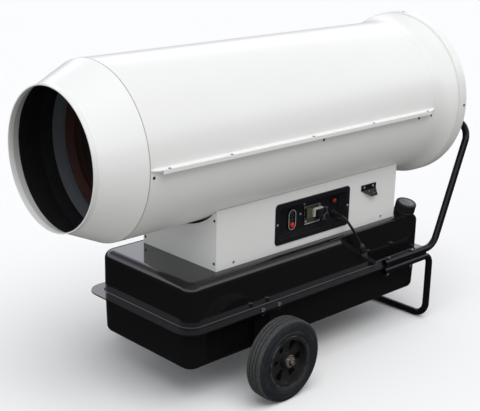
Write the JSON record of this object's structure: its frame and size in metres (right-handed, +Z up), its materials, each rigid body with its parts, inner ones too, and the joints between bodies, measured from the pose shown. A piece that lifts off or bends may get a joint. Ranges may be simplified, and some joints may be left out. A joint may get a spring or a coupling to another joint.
{
  "type": "forced air heater",
  "caption": "Portable fuel fired forced air heater: round casing with outlet cone and inlet bell on a cabinet and fuel tank, with wheels, handle, rear leg and control panel.",
  "frame": {"origin": "on the floor under the middle of the heater's box", "axes": "+X towards the control panel's side, -Y towards the hot air outlet, +Z up"},
  "size_m": [0.7156, 1.5434, 1.0251],
  "materials": {
    "white_paint": "semi-gloss powder coat",
    "tank_black": "gloss",
    "tube_black": "gloss",
    "zinc_steel": "zinc plated",
    "shield_steel": "aluminised sheet, dull",
    "tinted_steel": "heat tinted",
    "dark_steel": "heat darkened",
    "brass": "plain",
    "ceramic_white": "glazed",
    "bezel_black": "fine grain",
    "trim_grey": "satin",
    "button_black": "gloss",
    "button_red": "gloss",
    "socket_beige": "satin",
    "latch_grey": "satin",
    "plug_black": "satin",
    "cord_rubber": "satin",
    "tyre_rubber": "worn",
    "rim_black": "satin",
    "cap_black": "fine grain",
    "cast_grey": "as cast",
    "fan_aluminium": "satin",
    "motor_grey": "satin",
    "guard_wire": "satin",
    "filter_bowl": "translucent",
    "pipe_copper": "copper tube",
    "hook_black": "satin"
  },
  "bodies": {
    "heater": {"outlet_cone": "white_paint", "upper_casing": "white_paint", "lower_casing": "white_paint", "inlet_bell": "white_paint", "rear_guard": "guard_wire", "sheet_screws": "zinc_steel", "heat_shield": "shield_steel", "combustion_chamber": "dark_steel", "chamber_ring": "tinted_steel", "burner_plate": "dark_steel", "flame_disc": "dark_steel", "nozzle_holder": "brass", "fuel_nozzle": "brass", "electrodes": "ceramic_white", "photocell": "plug_black", "fuel_pump": "cast_grey", "solenoid_valve": "motor_grey", "fuel_lines": "pipe_copper", "fuel_filter": "filter_bowl", "fan_motor": "motor_grey", "motor_bracket": "zinc_steel", "front_panel": "white_paint", "rear_panel": "white_paint", "right_panel": "white_paint", "left_panel": "white_paint", "component_tray": "zinc_steel", "casing_saddles": "zinc_steel", "control_box": "plug_black", "ignition_transformer": "plug_black", "control_bezel": "bezel_black", "button_housing": "trim_grey", "thermostat_socket": "socket_beige", "thermostat_plug": "plug_black", "plug_latch": "latch_grey", "fuse_holder": "plug_black", "cord_gland": "plug_black", "power_cord": "cord_rubber", "power_plug": "plug_black", "plug_pins": "brass", "cord_hook": "hook_black", "tank_upper": "tank_black", "tank_lower": "tank_black", "tank_fittings": "zinc_steel", "axle": "zinc_steel", "axle_brackets": "tank_black", "axle_nuts": "zinc_steel", "handle": "tube_black", "rear_leg": "tube_black", "flange_bolts": "zinc_steel"},
    "wheel_left": {"tyre_left": "tyre_rubber", "rim_left": "rim_black"},
    "wheel_right": {"tyre_right": "tyre_rubber", "rim_right": "rim_black"},
    "rotor": {"motor_shaft": "zinc_steel", "fan": "fan_aluminium", "pump_coupling": "plug_black"},
    "start_button": {"start_button": "button_black"},
    "stop_button": {"stop_button": "button_red"},
    "reset_button": {"reset_button": "button_red"},
    "filler_cap": {"filler_cap": "cap_black"}
  },
  "joints": [
    {"name": "wheel_left_spin", "type": "hinge", "parent": "heater", "child": "wheel_left", "pos_m": [-0.315, -0.20475, 0.125], "axis": [1, 0, 0], "continuous": true},
    {"name": "wheel_right_spin", "type": "hinge", "parent": "heater", "child": "wheel_right", "pos_m": [0.315, -0.20475, 0.125], "axis": [1, 0, 0], "continuous": true},
    {"name": "fan_spin", "type": "hinge", "parent": "heater", "child": "rotor", "pos_m": [0, 0.38825, 0.74944], "axis": [0, 1, 0], "continuous": true},
    {"name": "start_push", "type": "slide", "parent": "heater", "child": "start_button", "axis": [-1, 0, 0], "range_m": [0, 0.0015], "stiffness_N_per_m": 900},
    {"name": "stop_push", "type": "slide", "parent": "heater", "child": "stop_button", "axis": [-1, 0, 0], "range_m": [0, 0.003], "stiffness_N_per_m": 900},
    {"name": "reset_push", "type": "slide", "parent": "heater", "child": "reset_button", "axis": [-1, 0, 0], "range_m": [0, 0.003], "stiffness_N_per_m": 900},
    {"name": "cap_turn", "type": "hinge", "parent": "heater", "child": "filler_cap", "pos_m": [0.163, 0.51825, 0.38], "axis": [0.2419, 0, 0.9703], "range_deg": [0, 90]}
  ]
}
